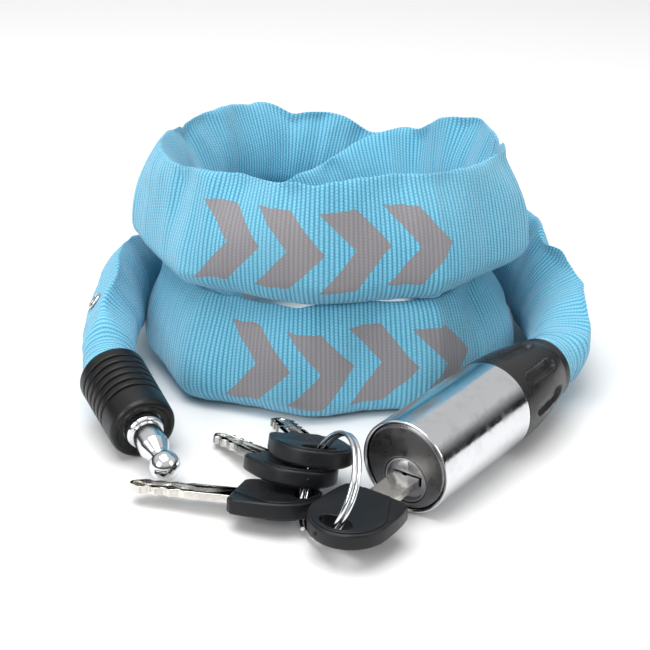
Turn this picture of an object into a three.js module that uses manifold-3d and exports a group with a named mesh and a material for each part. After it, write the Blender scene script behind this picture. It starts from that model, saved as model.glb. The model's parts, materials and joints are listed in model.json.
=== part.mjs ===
// Chain lock: a key-locked steel barrel, a woven sleeve with a chain of long links inside it,
// and a ball-ended locking pin in a rubber boot. Millimetres, +Z up, standing on z = 0.
//
// Three local frames are used:
//   barrel: origin at the centre of the key face, +Z along the barrel to its tail, +Y up
//   boot:   origin at the centre of the boot's front face, +Z along the boot to the sleeve
//   key:    origin at the centre of the ring slot, +X to the blade's tip, +Z out of the flat

import * as THREE from 'three';
import { mergeVertices } from 'three/addons/utils/BufferGeometryUtils.js';
import Module from 'manifold-3d';

const wasm = await Module();
wasm.setup();

// ---------------------------------------------------------------- driving dimensions

const GAP = 0.3; // clearance between pieces that touch
const ROUND = 20; // segments of a turned piece

const BARREL = { radius: 13.5, wall: 0.9, shellLength: 44, coreRadius: 12.3, corePinZ: 41, length: 75 };
const BARREL_PLACE = { face: new THREE.Vector3(21.2, -117.2, 13.5), heading: 36.7 };
const PLUG = { radius: 6.5, drop: 4.2, front: 0.9, rear: 24, keyDepth: 19.2 };
const WAFER = { count: 5, first: 4.5, pitch: 3.2, thick: 0.9 };
const CAM = { radius: 7, front: 24.4, rear: 26.4, lugIn: 5.2, lugOut: 7, lugEnd: 28.6 };
const SOCKET = { z: 31.6, radius: 4.7, mouthRadius: 6, top: 11 };
const ANCHOR = { z: 52.3, radius: 1.5, slot: 4.2 };
const DETENT = { z: 25.3, ball: 1.2, bore: 1.5, height: 4.3, wire: 0.4, coil: 0.95 };

const BOOT = { radius: 9.8, flare: 0.5, length: 28.5, bore: 8.1, grooves: 6, grooveStart: 8.5 };
const BOOT_PLACE = {
  ball: new THREE.Vector3(-44.3, -104.7, 6.9), toRear: new THREE.Vector3(-0.43, 0.886, 0.174),
};
const PIN = { ball: 4.5, ballZ: -17, neck: 2.8, shaft: 4.4, collar: 5.6, shank: 2.5 };
const FERRULE = { radius: 6.4, front: 2, rear: 18.7, slot: 9.3, crossPinZ: 15.2 };

const LINK = { count: 29, bar: 2.4, width: 12, play: 1.1, last: 18 };
const SLEEVE = { radius: 9, wall: 0.8, sides: 12, perLink: 2, cinch: 1.3, drape: 0.9 };
const RIVET = { behindBoot: 31, head: 3, shank: 1.4, washer: 2.2 };

const KEY = {
  bowLength: 24, bowWidth: 22.4, bowThick: 5.4, bowEdge: 0.7, slotToEnd: 4.9, slotWidth: 9.4, slotHeight: 5,
  blade: 30, bladeWidth: 8, bladeThick: 2.2, tang: 8, tangWidth: 6, inserted: 18.5,
};
const RING = { radius: 14, wire: 1.3, pitch: 1.45, turns: 1.95 };
const RING_PLACE = {
  centre: new THREE.Vector3(1.2, -129.6, 15.2), normal: new THREE.Vector3(0.875, 0.222, -0.43),
};

// Spare keys: angle of the slot round the ring, then the key's heading, slope and roll, degrees
const SPARE_KEYS = [
  { ringAngle: 94, heading: 104.5, slope: -16, roll: 12 },
  { ringAngle: 70, heading: 125, slope: -11, roll: 16 },
  { ringAngle: 40, heading: 167.5, slope: -1, roll: 14 },
];

// Route of the chain between barrel and boot: x, y, height of the chain line above the floor,
// how far the sleeve stands above that line, and how many degrees its upper edge leans outwards
const ROUTE = [
  [73, -45.5, 13, 12, 50], [74, -27, 12, 20, 30], [72.5, -5, 11.5, 25, 6], [68, 17, 13, 26.5, 0],
  [57, 38, 18, 26, 0], [37, 53, 26, 25, 0], [10, 60, 35, 24, 0], [-16, 57, 42, 23, 0],
  [-36, 43.5, 45, 23, 0], [-49.5, 21, 46, 24, 0], [-53.5, -5, 46, 25, 0], [-47, -31, 45.6, 27, 0],
  [-29, -50.5, 45.4, 28, 0], [0, -60, 45.3, 28.5, 0], [30, -53, 45.3, 28.5, 0], [51, -35, 45.3, 28, 0],
  [57, -9, 45.3, 27.5, 0], [50, 17, 44, 27, 0], [31, 34, 38, 25, 0], [6, 37, 29, 23, 0],
  [-20, 26, 20, 22, 0], [-39, 12, 13, 23, 0], [-50, -8, 9.5, 25.5, 0], [-49.5, -30, 8.8, 27, 0],
  [-38, -47.5, 8.8, 27.5, 0], [-21, -57, 8.8, 27.5, 0], [0, -60, 8.8, 27.5, 0], [30, -54, 8.8, 27.5, 0],
  [49, -36, 8.8, 27.5, 0], [53, -9, 8.8, 25, 0], [47.5, 17, 8.8, 17, 0], [29, 39, 8.8, 16.5, 0],
  [3, 51, 8.8, 16.5, 0], [-25, 47, 8.8, 16.5, 0], [-47, 33, 9.5, 17, 0], [-61, 12, 12, 20, 0],
  [-67, -13, 16, 21, 0], [-67.5, -34, 18.6, 17, 0], [-67.3, -48, 18.2, 13, 0],
];

// ---------------------------------------------------------------- geometry helpers

const radians = THREE.MathUtils.degToRad;

function solidOf(geometry) {
  const bare = geometry.clone();
  bare.deleteAttribute('normal');
  bare.deleteAttribute('uv');
  const merged = mergeVertices(bare, 1e-4);
  const solid = new wasm.Manifold(new wasm.Mesh({
    numProp: 3,
    vertProperties: new Float32Array(merged.attributes.position.array),
    triVerts: new Uint32Array(merged.index.array),
  }));
  return solid;
}

function geometryOf(solid) {
  const mesh = solid.getMesh();
  const geometry = new THREE.BufferGeometry();
  geometry.setAttribute('position', new THREE.BufferAttribute(new Float32Array(mesh.vertProperties), 3));
  geometry.setIndex(new THREE.BufferAttribute(new Uint32Array(mesh.triVerts), 1));
  geometry.computeVertexNormals();
  return geometry;
}

function cut(base, ...tools) {
  const start = solidOf(base);
  return geometryOf(tools.reduce((solid, tool) => solid.subtract(solidOf(tool)), start));
}

function join(base, ...extras) {
  const start = solidOf(base);
  return geometryOf(extras.reduce((solid, extra) => solid.add(solidOf(extra)), start));
}

// A turned piece about Z. The outline is a list of [radius, z], anticlockwise with radius to the
// right and z up, from axis to axis or closed on itself.
function turned(outline, segments = ROUND) {
  const points = outline.map(([radius, z]) => new THREE.Vector2(radius, z));
  return new THREE.LatheGeometry(points, segments).rotateX(Math.PI / 2);
}

function rod(radius, from, to, segments = ROUND) {
  return turned([[0, from], [radius, from], [radius, to], [0, to]], segments);
}

function ring(inner, outer, from, to, segments = ROUND) {
  return turned([[inner, from], [outer, from], [outer, to], [inner, to], [inner, from]], segments);
}

// A rod along local X or Y, from one value to another, through the point (0, 0, z)
function crossRod(axis, radius, from, to, z, segments = 16) {
  const geometry = rod(radius, from, to, segments);
  if (axis === 'x') geometry.rotateY(Math.PI / 2);
  else geometry.rotateX(-Math.PI / 2);
  return geometry.translate(0, 0, z);
}

function block(low, high) {
  const size = high.map((value, i) => value - low[i]);
  const middle = high.map((value, i) => (value + low[i]) / 2);
  return new THREE.BoxGeometry(...size).translate(...middle);
}

function plate(shape, thick, curveSegments = 6) {
  return new THREE.ExtrudeGeometry(shape, { depth: thick, bevelEnabled: false, curveSegments })
    .translate(0, 0, -thick / 2);
}

// A helix of round wire about Z, from a start height
function coil(radius, wire, pitch, turns, start, stepsPerTurn, sides) {
  class Helix extends THREE.Curve {
    getPoint(t, target = new THREE.Vector3()) {
      const angle = t * turns * 2 * Math.PI;
      return target.set(radius * Math.cos(angle), radius * Math.sin(angle), start + pitch * turns * t);
    }
  }
  const section = new THREE.Shape().absarc(0, 0, wire / 2, 0, 2 * Math.PI);
  return new THREE.ExtrudeGeometry(section, {
    steps: Math.round(stepsPerTurn * turns), curveSegments: sides / 2, extrudePath: new Helix(),
  });
}

function material(color, roughness, metalness) {
  return new THREE.MeshStandardMaterial({ color, roughness, metalness });
}

const STEEL = material(0xc9ccd0, 0.15, 1);
const DARK_STEEL = material(0x8b8e92, 0.35, 1);
const BRASS = material(0xb9975b, 0.35, 1);
const NICKEL = material(0xcfcdc6, 0.3, 1);
const BLACK_PLASTIC = material(0x1b1c1e, 0.45, 0);
const RUBBER = material(0x161718, 0.7, 0);
const WEBBING = material(0x6fc0e6, 0.85, 0);

function piece(parent, name, geometry, look) {
  const mesh = new THREE.Mesh(geometry, look);
  mesh.name = name;
  parent.add(mesh);
  return mesh;
}

// A group whose +Z runs along one direction, and whose +Y or +X is as near as it can be to another
function frameAt(origin, zAxis, hint, hintIs = 'y') {
  const z = zAxis.clone().normalize();
  const side = hintIs === 'y' ? hint.clone().cross(z) : hint.clone().addScaledVector(z, -hint.dot(z));
  const x = side.normalize();
  const y = z.clone().cross(x);
  const frame = new THREE.Group();
  frame.position.copy(origin);
  frame.quaternion.setFromRotationMatrix(new THREE.Matrix4().makeBasis(x, y, z));
  frame.updateMatrix();
  return frame;
}

const UP = new THREE.Vector3(0, 0, 1);
const group = new THREE.Group();

// ---------------------------------------------------------------- barrel

const heading = radians(BARREL_PLACE.heading);
const barrelAxis = new THREE.Vector3(Math.sin(heading), Math.cos(heading), 0);
const barrel = frameAt(BARREL_PLACE.face, barrelAxis, UP);
group.add(barrel);

function barrelShell() {
  const tube = ring(BARREL.radius - BARREL.wall, BARREL.radius, 0, BARREL.shellLength, 40);
  const pinHole = crossRod('y', SOCKET.mouthRadius + GAP, -BARREL.radius - 1, -5, SOCKET.z, ROUND);
  const corePinHole = crossRod('x', 1.8, 8, 15, BARREL.corePinZ);
  return cut(tube, pinHole, corePinHole);
}

function lockCore() {
  const spigot = 10.8;
  const body = turned([[0, 3.3], [BARREL.coreRadius, 3.3], [BARREL.coreRadius, BARREL.shellLength],
    [spigot, BARREL.shellLength], [spigot, 58], [0, 58]]);
  const plugBore = rod(PLUG.radius + GAP, 2, CAM.front, ROUND).translate(0, -PLUG.drop, 0);
  const camRoom = rod(CAM.radius + GAP, CAM.front - GAP, SOCKET.z - SOCKET.radius + 0.2)
    .translate(0, -PLUG.drop, 0);
  const lugRoom = ring(CAM.lugIn - GAP, CAM.lugOut + GAP, CAM.rear, CAM.lugEnd + GAP)
    .translate(0, -PLUG.drop, 0);
  const socket = crossRod('y', SOCKET.radius, -15, SOCKET.top, SOCKET.z, ROUND);
  const mouth = crossRod('y', SOCKET.mouthRadius, -15, -10.4, SOCKET.z, ROUND);
  const corePinHole = crossRod('x', 1.8, 6, 15, BARREL.corePinZ);
  const detentHole = crossRod('y', DETENT.bore, 2, 11.9, DETENT.z);
  const chainSlot = block([-ANCHOR.slot / 2, -12, 46.4], [ANCHOR.slot / 2, 12, 60]);
  const anchorHole = crossRod('x', ANCHOR.radius + GAP, -12, 12, ANCHOR.z);
  return cut(body, plugBore, camRoom, lugRoom, socket, mouth, corePinHole, detentHole, chainSlot, anchorHole);
}

function facePlate() {
  const disc = turned([[0, 0.5], [11.4, 0.5], [12, 1.1], [12, 3], [0, 3]], 40);
  return cut(disc, rod(PLUG.radius + GAP, 0, 4).translate(0, -PLUG.drop, 0));
}

function tailCap() {
  const shell = turned([
    [11.2, 44.3], [13.5, 44.3], [13.4, 52], [12.9, 58], [12.1, 64], [11.2, 69], [10.5, 72], [9.9, 72.2],
    [9.9, 75], [9.1, 75], [9.1, 63], [11.2, 59], [11.2, 44.3],
  ], 32);
  const flute = new THREE.CapsuleGeometry(1.9, 13, 2, 8).rotateX(Math.PI / 2);
  const flutes = Array.from({ length: 8 }, (_, i) => flute.clone()
    .rotateX(radians(3.5)).translate(0, 14.1, 58.5).rotateZ((i * Math.PI) / 4));
  return cut(shell, ...flutes);
}

piece(barrel, 'barrel_shell', barrelShell(), STEEL);
piece(barrel, 'lock_core', lockCore(), BRASS);
piece(barrel, 'face_plate', facePlate(), STEEL);
piece(barrel, 'tail_cap', tailCap(), BLACK_PLASTIC);
piece(barrel, 'core_pin', crossRod('x', 1.5, 6.5, 13.2, BARREL.corePinZ), DARK_STEEL);
piece(barrel, 'anchor_pin', crossRod('x', ANCHOR.radius, -10.6, 10.6, ANCHOR.z), DARK_STEEL);

const detentBall = new THREE.SphereGeometry(DETENT.ball, 12, 8).translate(0, DETENT.height, DETENT.z);
const detentSpring = coil(DETENT.coil, DETENT.wire, 1.1, 5, 0, 8, 4)
  .rotateX(-Math.PI / 2).translate(0, DETENT.height + 1.55, DETENT.z);
piece(barrel, 'detent_ball', detentBall, DARK_STEEL);
piece(barrel, 'detent_spring', detentSpring, DARK_STEEL);

// ---------------------------------------------------------------- key plug

const plug = new THREE.Group();
plug.position.set(0, -PLUG.drop, 0);
barrel.add(plug);

const waferPlaces = Array.from({ length: WAFER.count }, (_, i) => WAFER.first + i * WAFER.pitch);

function keyPlug() {
  const body = rod(PLUG.radius, PLUG.front, PLUG.rear);
  const keyway = block([-4.3, -1.4, 0], [4.3, 1.4, PLUG.keyDepth]);
  const half = WAFER.thick / 2 + GAP;
  const waferSlots = waferPlaces.map((z) => block([-8, -2.8, z - half], [8, 2.8, z + half]));
  return cut(body, keyway, ...waferSlots, rod(1.3, 20.3, 25, 16));
}

function wafer() {
  const rectangle = (x, y) => [[-x, -y], [x, -y], [x, y], [-x, y]].map((p) => new THREE.Vector2(...p));
  const outline = new THREE.Shape(rectangle(5.9, 2.5));
  outline.holes.push(new THREE.Path(rectangle(4.6, 1.7).reverse()));
  return plate(outline, WAFER.thick);
}

function plugCam() {
  const disc = cut(rod(CAM.radius, CAM.front, CAM.rear), rod(1.3, 24, 27, 16), rod(2.4, 25.3, 27, 20));
  const lug = block([CAM.lugIn, -2, CAM.rear - 0.2], [CAM.lugOut - 0.3, 2, CAM.lugEnd]);
  return join(disc, lug);
}

function camScrew() {
  return turned([[0, 20.8], [1, 20.8], [1, 25.6], [2, 25.6], [2, 26.5], [0, 26.5]], 16);
}

piece(plug, 'key_plug', keyPlug(), NICKEL);
waferPlaces.forEach((z, i) => piece(plug, `wafer_${i + 1}`, wafer().translate(0, 0, z), BRASS));
piece(plug, 'plug_cam', plugCam(), DARK_STEEL);
piece(plug, 'cam_screw', camScrew(), DARK_STEEL);

// ---------------------------------------------------------------- keys

function bowShape() {
  const half = KEY.bowWidth / 2;
  const end = -KEY.slotToEnd;
  const shoulder = end + KEY.bowLength;
  const shape = new THREE.Shape();
  shape.moveTo(shoulder, -7);
  shape.lineTo(shoulder, 7);
  shape.lineTo(shoulder - 2.2, 9.6);
  shape.quadraticCurveTo(shoulder - 6, half, end + half, half);
  shape.absarc(end + half, 0, half, Math.PI / 2, 1.5 * Math.PI, false);
  shape.quadraticCurveTo(shoulder - 6, -half, shoulder - 2.2, -9.6);
  const slot = new THREE.Path();
  slot.absellipse(0, 0, KEY.slotHeight / 2, KEY.slotWidth / 2, 0, 2 * Math.PI, true);
  shape.holes.push(slot);
  return shape;
}

function keyBow() {
  const edge = KEY.bowEdge;
  const solid = new THREE.ExtrudeGeometry(bowShape(), {
    depth: KEY.bowThick - 2 * edge, bevelThickness: edge, bevelSize: edge, bevelOffset: -edge,
    bevelSegments: 1, curveSegments: 6,
  }).translate(0, 0, edge - KEY.bowThick / 2);
  const shoulder = KEY.bowLength - KEY.slotToEnd;
  const pocket = block([shoulder - KEY.tang - GAP, -KEY.tangWidth / 2 - GAP, -KEY.bladeThick / 2 - GAP],
    [shoulder + 1, KEY.tangWidth / 2 + GAP, KEY.bladeThick / 2 + GAP]);
  return cut(solid, pocket);
}

function keyBlade() {
  const shoulder = KEY.bowLength - KEY.slotToEnd + GAP;
  const tip = shoulder + KEY.blade;
  const half = KEY.bladeWidth / 2;
  const outline = [
    [shoulder - KEY.tang, -KEY.tangWidth / 2], [shoulder, -KEY.tangWidth / 2], [shoulder, -half],
    [tip - 17, -half], [tip - 15, -half + 0.9], [tip - 13, -half + 0.2], [tip - 10.5, -half + 1.3],
    [tip - 8, -half + 0.3], [tip - 5.5, -half + 1.1], [tip - 3, -half + 0.6], [tip - 1, -1.8], [tip, -0.9],
  ];
  const mirrored = outline.map(([x, y]) => [x, -y]).reverse();
  const points = [...outline, ...mirrored].map(([x, y]) => new THREE.Vector2(x, y));
  return plate(new THREE.Shape(points), KEY.bladeThick);
}

function addKey(parent, number) {
  piece(parent, `key_blade_${number}`, keyBlade(), NICKEL);
  piece(parent, `key_bow_${number}`, keyBow(), BLACK_PLASTIC);
}

// The working key lies flat in the plug, with its +X along the barrel's +Z
const workingKey = new THREE.Group();
const slotToTip = KEY.bowLength - KEY.slotToEnd + GAP + KEY.blade;
workingKey.position.set(0, 0, KEY.inserted - slotToTip);
workingKey.quaternion.setFromRotationMatrix(new THREE.Matrix4().makeBasis(
  new THREE.Vector3(0, 0, 1), new THREE.Vector3(1, 0, 0), new THREE.Vector3(0, 1, 0)));
plug.add(workingKey);
addKey(workingKey, 1);

// ---------------------------------------------------------------- split ring and spare keys

// Ring frame: +Z along the ring's normal, and +X to its lowest point
const ringFrame = frameAt(RING_PLACE.centre, RING_PLACE.normal, new THREE.Vector3(0, 0, -1), 'x');
group.add(ringFrame);
const ringCoil = coil(RING.radius, RING.wire, RING.pitch, RING.turns, -RING.pitch * RING.turns / 2, 24, 6);
piece(ringFrame, 'split_ring', ringCoil, STEEL);

SPARE_KEYS.forEach(({ ringAngle, heading: turn, slope, roll }, i) => {
  const angle = radians(ringAngle);
  const slotPoint = new THREE.Vector3(RING.radius * Math.cos(angle), RING.radius * Math.sin(angle), 0)
    .applyMatrix4(ringFrame.matrix);
  const key = new THREE.Group();
  key.position.copy(slotPoint);
  key.rotation.set(radians(roll), radians(-slope), radians(turn), 'ZYX');
  group.add(key);
  addKey(key, i + 2);
});

// ---------------------------------------------------------------- boot and locking pin

const bootAxis = BOOT_PLACE.toRear.clone().normalize();
const bootFront = BOOT_PLACE.ball.clone().addScaledVector(bootAxis, -PIN.ballZ);
const boot = frameAt(bootFront, bootAxis, UP);
group.add(boot);

function pinBoot() {
  const { radius, flare, length, bore, grooves, grooveStart } = BOOT;
  const outside = (z) => radius + flare * z / length;
  const step = (length - grooveStart - 2) / grooves;
  const grooved = Array.from({ length: grooves }, (_, i) => {
    const z = grooveStart + i * step;
    const r = outside(z);
    return [[r, z], [r - 0.9, z + 0.4], [r - 0.9, z + 0.9], [r, z + 1.3]];
  }).flat();
  const lip = PIN.collar + GAP;
  const inside = FERRULE.radius + 0.4;
  return turned([
    [lip, 0.8], [radius - 2.2, 0.8], [radius - 1.2, 0], [radius, 1.2], ...grooved,
    [outside(length), length - 0.6], [outside(length) - 0.6, length], [bore, length], [bore, 20.2],
    [inside, 19.6], [inside, 1.9], [lip, 1.9], [lip, 0.8],
  ], 24);
}

function lockingPin() {
  const { ball, ballZ, neck, shaft, collar, shank } = PIN;
  const head = Array.from({ length: 7 }, (_, i) => {
    const angle = radians(-70 + i * 20);
    return [ball * Math.cos(angle), ballZ + ball * Math.sin(angle)];
  });
  return turned([
    [0, ballZ - ball], ...head, [neck, -12.9], [neck, -12.2], [shaft, -8.6], [shaft, -1.2],
    [collar - 0.6, -1.2], [collar, -0.6], [collar, 1.1], [collar - 0.5, 1.6],
    [shank, 1.6], [shank, 9], [0, 9],
  ], 24);
}

function pinFerrule() {
  const { radius, front, rear, slot, crossPinZ } = FERRULE;
  return cut(rod(radius, front, rear, 24), rod(PIN.shank + GAP, 1, 9.5),
    block([-ANCHOR.slot / 2, -8, slot], [ANCHOR.slot / 2, 8, rear + 1]),
    crossRod('x', ANCHOR.radius + GAP, -8, 8, crossPinZ));
}

piece(boot, 'pin_boot', pinBoot(), RUBBER);
piece(boot, 'locking_pin', lockingPin(), STEEL);
piece(boot, 'pin_ferrule', pinFerrule(), DARK_STEEL);
piece(boot, 'ferrule_cross_pin', crossRod('x', ANCHOR.radius, -5.6, 5.6, FERRULE.crossPinZ), DARK_STEEL);

// ---------------------------------------------------------------- chain and sleeve

// The chain line, from the anchor pin through the route to the cross pin in the ferrule. Each point
// carries the sleeve's height above the line and its lean.
const contact = ANCHOR.radius + LINK.play;
const onBarrel = (z) => BARREL_PLACE.face.clone().addScaledVector(barrelAxis, z);
const onBoot = (z) => bootFront.clone().addScaledVector(bootAxis, z);
const ends = { mouth: 66, mouthRadius: 8.4, cuff: 20.6, cuffRadius: 7.4, tight: 8.5 };
const firstJoint = ANCHOR.z - LINK.bar / 2;
const lastJoint = FERRULE.crossPinZ - LINK.bar / 2;

const stops = [
  { at: onBarrel(firstJoint), rise: ends.tight, lean: 50 },
  { at: onBarrel(BARREL.length + 1), rise: ends.tight, lean: 50 },
  ...ROUTE.map(([x, y, z, rise, lean]) => ({ at: new THREE.Vector3(x, y, z), rise, lean })),
  { at: onBoot(BOOT.length + 3), rise: ends.tight, lean: 0 },
  { at: onBoot(lastJoint), rise: ends.tight, lean: 0 },
];
const chainLine = new THREE.CatmullRomCurve3(stops.map((stop) => stop.at), false, 'catmullrom', 0.5);
chainLine.arcLengthDivisions = 2000;

// Height and lean at a share of the line's length, eased between the route's points
function sleeveAt(share) {
  const t = chainLine.getUtoTmapping(share) * (stops.length - 1);
  const i = Math.min(Math.floor(t), stops.length - 2);
  const eased = THREE.MathUtils.smoothstep(t - i, 0, 1);
  return {
    rise: THREE.MathUtils.lerp(stops[i].rise, stops[i + 1].rise, eased),
    lean: radians(THREE.MathUtils.lerp(stops[i].lean, stops[i + 1].lean, eased)),
  };
}

// Direction of the sleeve's upper edge at a share of the line, square to the line
function edgeDirection(share) {
  const along = chainLine.getTangentAt(share);
  const across = along.clone().cross(UP).normalize();
  const upright = across.clone().cross(along).normalize();
  const { lean } = sleeveAt(share);
  return upright.multiplyScalar(Math.cos(lean)).addScaledVector(across, Math.sin(lean));
}

// Joints between the links. The last link, in the boot, is shorter than the others.
const lineLength = chainLine.getLength();
const pitch = (lineLength - LINK.last) / (LINK.count - 1);
const jointShare = (i) => Math.min(i * pitch / lineLength, 1);
const joints = Array.from({ length: LINK.count + 1 }, (_, i) => chainLine.getPointAt(jointShare(i)));

// The point of the links' own straight line at a share of the chain line
function onLinks(share) {
  const i = Math.min(Math.floor(share * lineLength / pitch), LINK.count - 1);
  const part = (share - jointShare(i)) / (jointShare(i + 1) - jointShare(i));
  return joints[i].clone().lerp(joints[i + 1], part);
}

function chainLink(chord) {
  const length = chord + 2 * contact;
  const half = length / 2 + LINK.bar / 2;
  const radius = LINK.width / 2;
  const outline = (target, r, reach, clockwise) => {
    const flat = reach - r;
    if (clockwise) {
      target.moveTo(flat, r).absarc(flat, 0, r, Math.PI / 2, -Math.PI / 2, true);
      return target.absarc(-flat, 0, r, -Math.PI / 2, Math.PI / 2, true);
    }
    return target.moveTo(flat, -r).absarc(flat, 0, r, -Math.PI / 2, Math.PI / 2, false)
      .absarc(-flat, 0, r, Math.PI / 2, 1.5 * Math.PI, false);
  };
  const shape = outline(new THREE.Shape(), radius, half, false);
  shape.holes.push(outline(new THREE.Path(), radius - LINK.bar, half - LINK.bar, true));
  return plate(shape, LINK.bar, 3);
}

// Each link lies square to the last. The end links lie square to the pins that they hang on, and
// over the first and last few links the planes turn to 45 degrees either way, the slimmest set.
for (let i = 0; i < LINK.count; i += 1) {
  const from = joints[i];
  const to = joints[i + 1];
  const along = to.clone().sub(from);
  const middle = from.clone().add(to).multiplyScalar(0.5);
  const swing = 45 * Math.max(0, 1 - Math.min(i, LINK.count - 1 - i) / 4);
  const turn = radians(45 + swing + (i % 2) * 90);
  const normal = UP.clone().applyAxisAngle(along.clone().normalize(), turn);
  normal.addScaledVector(along, -normal.dot(along) / along.lengthSq());
  const linkFrame = frameAt(middle, normal, along, 'x');
  group.add(linkFrame);
  piece(linkFrame, `chain_link_${String(i + 1).padStart(2, '0')}`, chainLink(along.length()), DARK_STEEL);
}

// The sleeve is a straight hollow tube whose points are moved onto the chain line. The woven tube
// hangs from link to link, so its line is drawn a little way towards each link's middle.
function sleeveTube() {
  const first = (ends.mouth - firstJoint) / lineLength;
  const last = 1 - (ends.cuff - lastJoint) / lineLength;
  const collar = (BARREL.length + 1 - firstJoint) / lineLength;
  const cuff = 1 - (BOOT.length + 1 - lastJoint) / lineLength;
  const along = Array.from({ length: LINK.count * SLEEVE.perLink })
    .map((_, i) => jointShare((i + 1) / SLEEVE.perLink))
    .filter((share) => share > collar && share < cuff);
  const stations = [first, collar, ...along, cuff, last];
  const steps = stations.length - 1;
  const outer = Array.from({ length: steps + 1 }, (_, i) => [2, i]);
  const inner = outer.map(([, i]) => [1, steps - i]);
  const tube = mergeVertices(stripped(turned([...outer, ...inner, outer[0]], SLEEVE.sides)), 1e-3);
  const points = tube.attributes.position;
  const point = new THREE.Vector3();
  for (let k = 0; k < points.count; k += 1) {
    point.fromBufferAttribute(points, k);
    const share = stations[Math.round(point.z)];
    const isInner = Math.hypot(point.x, point.y) < 1.5;
    const angle = Math.atan2(point.y, point.x) + Math.PI / SLEEVE.sides;
    const place = sleevePoint(share, angle, isInner ? SLEEVE.wall : 0);
    points.setXYZ(k, place.x, place.y, place.z);
  }
  return tube;
}

function stripped(geometry) {
  geometry.deleteAttribute('normal');
  geometry.deleteAttribute('uv');
  return geometry;
}

// A point of the sleeve's section: round below the chain line, drawn up to an edge above it
function sleevePoint(share, angle, inset) {
  const { rise } = sleeveAt(share);
  const snug = THREE.MathUtils.smoothstep(rise, ends.tight, 14);
  const endRadius = share > 0.5 ? ends.cuffRadius : ends.mouthRadius;
  const radius = THREE.MathUtils.lerp(endRadius, SLEEVE.radius, snug) - inset;
  const top = THREE.MathUtils.lerp(endRadius, rise, snug) - inset;
  const c = Math.cos(angle);
  const s = Math.sin(angle);
  const width = s > 0 ? Math.sign(c) * radius * Math.abs(c) ** SLEEVE.cinch : radius * c;
  const height = s > 0 ? top * s : radius * s;
  const centre = chainLine.getPointAt(share).lerp(onLinks(share), SLEEVE.drape);
  const edge = edgeDirection(share);
  const across = edge.clone().cross(chainLine.getTangentAt(share));
  return centre.addScaledVector(across, width).addScaledVector(edge, height);
}

// The rivet sits square to the flat of the sleeve just above the boot, on the side away from the coil
function rivetPlace() {
  const share = 1 - (BOOT.length + RIVET.behindBoot - lastJoint) / lineLength;
  const angle = Math.PI - Math.PI / SLEEVE.sides * 2;
  const corner = (along, around) => sleevePoint(share + along * 0.004, angle + around * 0.12, 0);
  const along = corner(1, 0).sub(corner(-1, 0));
  const around = corner(0, 1).sub(corner(0, -1));
  return frameAt(corner(0, 0), around.cross(along), UP);
}

function sleeveRivet() {
  const { head, shank, washer } = RIVET;
  const inner = -SLEEVE.wall - 2 * GAP;
  return turned([
    [0, inner - 0.7], [washer, inner - 0.7], [washer, inner], [shank, inner], [shank, GAP],
    [head, GAP], [head - 0.3, 0.8], [head - 1.4, 1.3], [0, 1.4],
  ], 16);
}

const rivet = rivetPlace();
group.add(rivet);
piece(rivet, 'sleeve_rivet', sleeveRivet(), NICKEL);
const rivetHole = rod(RIVET.shank + GAP, -4, 4, 12).applyMatrix4(rivet.matrix);
piece(group, 'sleeve', cut(sleeveTube(), rivetHole), WEBBING);

// ---------------------------------------------------------------- origin

// The origin is the middle of the lock's footprint, on the floor
const box = new THREE.Box3().setFromObject(group, true);
group.position.set(-(box.min.x + box.max.x) / 2, -(box.min.y + box.max.y) / 2, -box.min.z);

export default group;
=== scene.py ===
"""Chain lock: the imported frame, dressed with a ribbed woven sleeve, turned metal, moulded keys and rubber.

Lengths in the tables and functions below are millimetres, as in the part's own design, and at() and the
placing matrices turn them into metres in the row frame. Three local frames are used:
  barrel: origin at the centre of the key face, +Z along the barrel to its tail, +Y up
  boot:   origin at the centre of the boot's front face, +Z along the boot to the sleeve
  key:    origin at the centre of the ring slot, +X to the blade's tip, +Z out of the flat
"""

import json
import math

import bmesh
import bpy
from mathutils import Matrix, Vector, noise


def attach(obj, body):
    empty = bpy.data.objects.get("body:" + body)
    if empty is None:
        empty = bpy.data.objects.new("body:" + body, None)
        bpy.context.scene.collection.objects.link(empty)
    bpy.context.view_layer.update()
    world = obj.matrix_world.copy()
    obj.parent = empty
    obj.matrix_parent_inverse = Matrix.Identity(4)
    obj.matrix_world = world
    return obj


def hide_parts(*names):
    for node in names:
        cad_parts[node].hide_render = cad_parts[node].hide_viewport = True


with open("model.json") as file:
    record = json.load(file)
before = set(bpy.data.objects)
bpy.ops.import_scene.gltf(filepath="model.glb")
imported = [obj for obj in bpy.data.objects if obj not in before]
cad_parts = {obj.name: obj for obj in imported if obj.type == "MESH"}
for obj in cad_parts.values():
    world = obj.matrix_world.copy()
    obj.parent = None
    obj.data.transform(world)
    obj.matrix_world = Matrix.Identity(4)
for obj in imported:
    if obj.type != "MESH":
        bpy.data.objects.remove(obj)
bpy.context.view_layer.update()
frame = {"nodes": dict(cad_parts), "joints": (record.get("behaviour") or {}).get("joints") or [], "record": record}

# ------------------------------------------------------------------ sizes and places

MM = 0.001
UP = Vector((0, 0, 1))
JOINTS = {joint["name"]: joint for joint in frame["joints"]}

PLUG_POINT = Vector((21.2, -117.2, 9.3))  # where the plug turns, in the coil's own millimetres
SHIFT = Vector(JOINTS["plug_turn"]["pos_m"]) - PLUG_POINT * MM

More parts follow.
